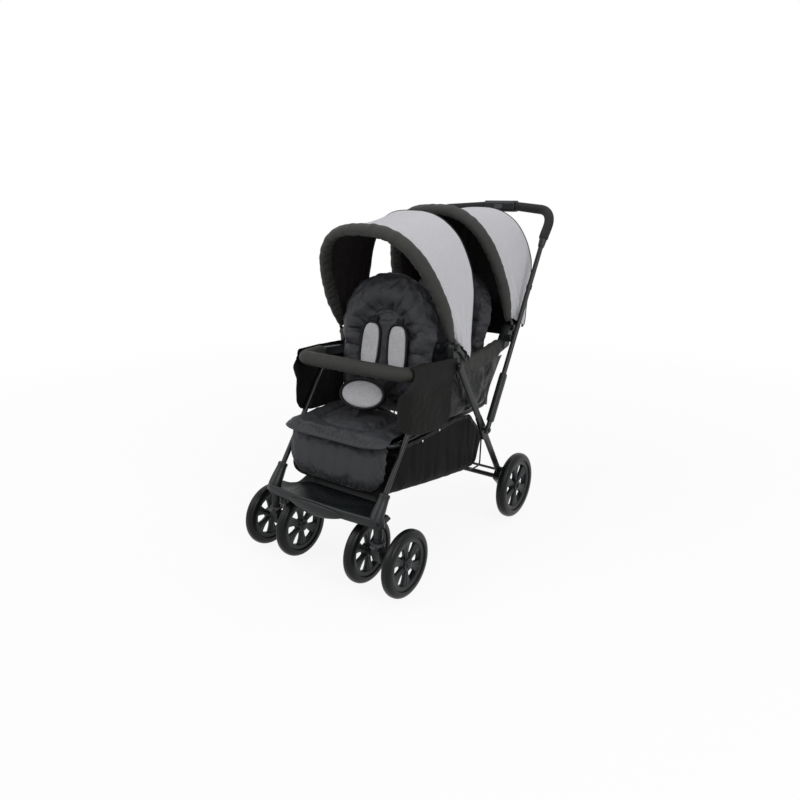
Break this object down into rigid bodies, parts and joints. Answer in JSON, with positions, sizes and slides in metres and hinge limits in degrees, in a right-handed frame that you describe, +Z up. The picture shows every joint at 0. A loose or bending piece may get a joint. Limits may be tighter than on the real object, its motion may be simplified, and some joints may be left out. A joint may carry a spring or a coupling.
{
  "type": "double stroller",
  "caption": "Tandem double stroller with one seat behind the other, arched canopies, padded bumper bar, under-seat basket, twin-wheel front casters and folding push handle",
  "frame": {"origin": "on the floor under the middle of the overall footprint", "axes": "+Z up, the stroller travels towards -Y, its left side is at +X"},
  "size_m": [0.5954, 1.106, 1.071],
  "materials": {
    "black_frame": "satin powder coat",
    "moulded_plastic": "fine satin mould texture",
    "tyre": "smooth solid tyre",
    "foam_grip": "closed-cell foam",
    "seat_cloth": "plain weave",
    "rim_cloth": "plain weave",
    "grey_cloth": "melange weave",
    "basket_cloth": "plain weave",
    "button_plastic": "satin"
  },
  "bodies": {
    "chassis": {"front_frame": "black_frame", "footboard": "moulded_plastic", "arm_hub_left": "moulded_plastic", "arm_hub_right": "moulded_plastic", "seat_frame": "black_frame", "rear_arm_left": "rim_cloth", "rear_arm_right": "rim_cloth", "bumper_bar": "rim_cloth", "side_panel_left": "rim_cloth", "side_panel_right": "rim_cloth", "rear_seat_sling": "seat_cloth", "front_seat_pad": "seat_cloth", "rear_seat_pad": "seat_cloth", "front_calf_pad": "seat_cloth", "front_belly_pad": "grey_cloth", "basket": "basket_cloth", "basket_wire": "black_frame", "front_canopy_rear_bow": "black_frame", "rear_canopy_rear_bow": "black_frame", "front_canopy_cover": "grey_cloth", "rear_canopy_cover": "grey_cloth"},
    "caster_left": {"caster_fork_left": "moulded_plastic"},
    "caster_right": {"caster_fork_right": "moulded_plastic"},
    "swivel_lock_left": {"swivel_lock_left": "button_plastic"},
    "swivel_lock_right": {"swivel_lock_right": "button_plastic"},
    "rear_frame": {"rear_leg_left": "black_frame", "rear_leg_right": "black_frame", "rear_axle": "black_frame"},
    "brake": {"brake_pedal": "button_plastic"},
    "push_handle": {"push_tube_left": "black_frame", "push_tube_right": "black_frame", "handle_grip": "foam_grip", "handle_block": "moulded_plastic"},
    "fold_sleeve_left": {"fold_sleeve_left": "moulded_plastic"},
    "fold_sleeve_right": {"fold_sleeve_right": "moulded_plastic"},
    "handle_button": {"handle_button": "button_plastic"},
    "front_canopy": {"front_canopy_front_bow": "rim_cloth"},
    "rear_canopy": {"rear_canopy_front_bow": "rim_cloth"},
    "front_back": {"front_back_frame": "black_frame", "front_backrest_pad": "seat_cloth", "front_harness": "grey_cloth", "front_buckle": "moulded_plastic"},
    "rear_back": {"rear_back_frame": "black_frame", "rear_backrest_pad": "seat_cloth", "rear_harness": "grey_cloth", "rear_buckle": "moulded_plastic"},
    "front_buckle_button": {"front_buckle_button": "button_plastic"},
    "rear_buckle_button": {"rear_buckle_button": "button_plastic"},
    "front_left_outer_wheel": {"front_left_outer_tyre": "tyre", "front_left_outer_rim": "moulded_plastic"},
    "front_left_inner_wheel": {"front_left_inner_tyre": "tyre", "front_left_inner_rim": "moulded_plastic"},
    "front_right_outer_wheel": {"front_right_outer_tyre": "tyre", "front_right_outer_rim": "moulded_plastic"},
    "front_right_inner_wheel": {"front_right_inner_tyre": "tyre", "front_right_inner_rim": "moulded_plastic"},
    "rear_left_wheel": {"rear_left_tyre": "tyre", "rear_left_rim": "moulded_plastic"},
    "rear_right_wheel": {"rear_right_tyre": "tyre", "rear_right_rim": "moulded_plastic"}
  },
  "joints": [
    {"name": "left_caster_swivel", "type": "hinge", "parent": "chassis", "child": "caster_left", "pos_m": [0.202, -0.488, 0.15], "axis": [0, 0, 1], "continuous": true},
    {"name": "left_swivel_lock_turn", "type": "hinge", "parent": "caster_left", "child": "swivel_lock_left", "pos_m": [0.202, -0.488, 0.1555], "axis": [0, 0, 1], "range_deg": [0, 30]},
    {"name": "front_left_outer_spin", "type": "hinge", "parent": "caster_left", "child": "front_left_outer_wheel", "pos_m": [0.2697, -0.453, 0.1], "axis": [1, 0, 0], "continuous": true},
    {"name": "front_left_inner_spin", "type": "hinge", "parent": "caster_left", "child": "front_left_inner_wheel", "pos_m": [0.1343, -0.453, 0.1], "axis": [1, 0, 0], "continuous": true},
    {"name": "right_caster_swivel", "type": "hinge", "parent": "chassis", "child": "caster_right", "pos_m": [-0.202, -0.488, 0.15], "axis": [0, 0, 1], "continuous": true},
    {"name": "right_swivel_lock_turn", "type": "hinge", "parent": "caster_right", "child": "swivel_lock_right", "pos_m": [-0.202, -0.488, 0.1555], "axis": [0, 0, 1], "range_deg": [0, 30]},
    {"name": "front_right_outer_spin", "type": "hinge", "parent": "caster_right", "child": "front_right_outer_wheel", "pos_m": [-0.2697, -0.453, 0.1], "axis": [1, 0, 0], "continuous": true},
    {"name": "front_right_inner_spin", "type": "hinge", "parent": "caster_right", "child": "front_right_inner_wheel", "pos_m": [-0.1343, -0.453, 0.1], "axis": [1, 0, 0], "continuous": true},
    {"name": "rear_left_spin", "type": "hinge", "parent": "rear_frame", "child": "rear_left_wheel", "pos_m": [0.278, 0.1915, 0.114], "axis": [1, 0, 0], "continuous": true},
    {"name": "rear_right_spin", "type": "hinge", "parent": "rear_frame", "child": "rear_right_wheel", "pos_m": [-0.278, 0.1915, 0.114], "axis": [1, 0, 0], "continuous": true},
    {"name": "fold", "type": "hinge", "parent": "chassis", "child": "rear_frame", "pos_m": [0, -0.121, 0.597], "axis": [-1, 0, 0], "range_deg": [0, 30]},
    {"name": "handle_fold", "type": "hinge", "parent": "rear_frame", "child": "push_handle", "pos_m": [0, 0.034, 0.35598], "axis": [1, 0, 0], "range_deg": [0, 150]},
    {"name": "brake_turn", "type": "hinge", "parent": "rear_frame", "child": "brake", "pos_m": [0, 0.1895, 0.156], "axis": [-1, 0, 0], "range_deg": [0, 20]},
    {"name": "left_sleeve_slide", "type": "slide", "parent": "push_handle", "child": "fold_sleeve_left", "axis": [-0.0032, 0.5061, 0.8625], "range_m": [0, 0.02], "stiffness_N_per_m": 150},
    {"name": "right_sleeve_slide", "type": "slide", "parent": "push_handle", "child": "fold_sleeve_right", "axis": [0.0032, 0.5061, 0.8625], "range_m": [0, 0.02], "stiffness_N_per_m": 150},
    {"name": "handle_button_press", "type": "slide", "parent": "push_handle", "child": "handle_button", "axis": [0, 1, 0], "range_m": [0, 0.004], "stiffness_N_per_m": 200},
    {"name": "front_canopy_fold", "type": "hinge", "parent": "chassis", "child": "front_canopy", "pos_m": [0, -0.128, 0.655], "axis": [-1, 0, 0], "range_deg": [0, 30], "deforming": ["front_canopy_cover"]},
    {"name": "rear_canopy_fold", "type": "hinge", "parent": "chassis", "child": "rear_canopy", "pos_m": [0, 0.227, 0.662], "axis": [-1, 0, 0], "range_deg": [0, 30], "deforming": ["rear_canopy_cover"]},
    {"name": "front_recline", "type": "hinge", "parent": "chassis", "child": "front_back", "pos_m": [0, -0.191, 0.437], "axis": [-1, 0, 0], "range_deg": [0, 18]},
    {"name": "rear_recline", "type": "hinge", "parent": "chassis", "child": "rear_back", "pos_m": [0, 0.135, 0.45], "axis": [-1, 0, 0], "range_deg": [0, 15]},
    {"name": "front_buckle_press", "type": "slide", "parent": "front_back", "child": "front_buckle_button", "axis": [0, 0.9877, -0.1564], "range_m": [0, 0.003], "stiffness_N_per_m": 300},
    {"name": "rear_buckle_press", "type": "slide", "parent": "rear_back", "child": "rear_buckle_button", "axis": [0, 0.9744, -0.225], "range_m": [0, 0.003], "stiffness_N_per_m": 300}
  ],
  "couplings": [
    {"joint": "handle_fold", "follows": "fold", "ratio": 5},
    {"joint": "right_sleeve_slide", "follows": "left_sleeve_slide", "ratio": 1},
    {"joint": "handle_button_press", "follows": "left_sleeve_slide", "ratio": 0.2}
  ]
}
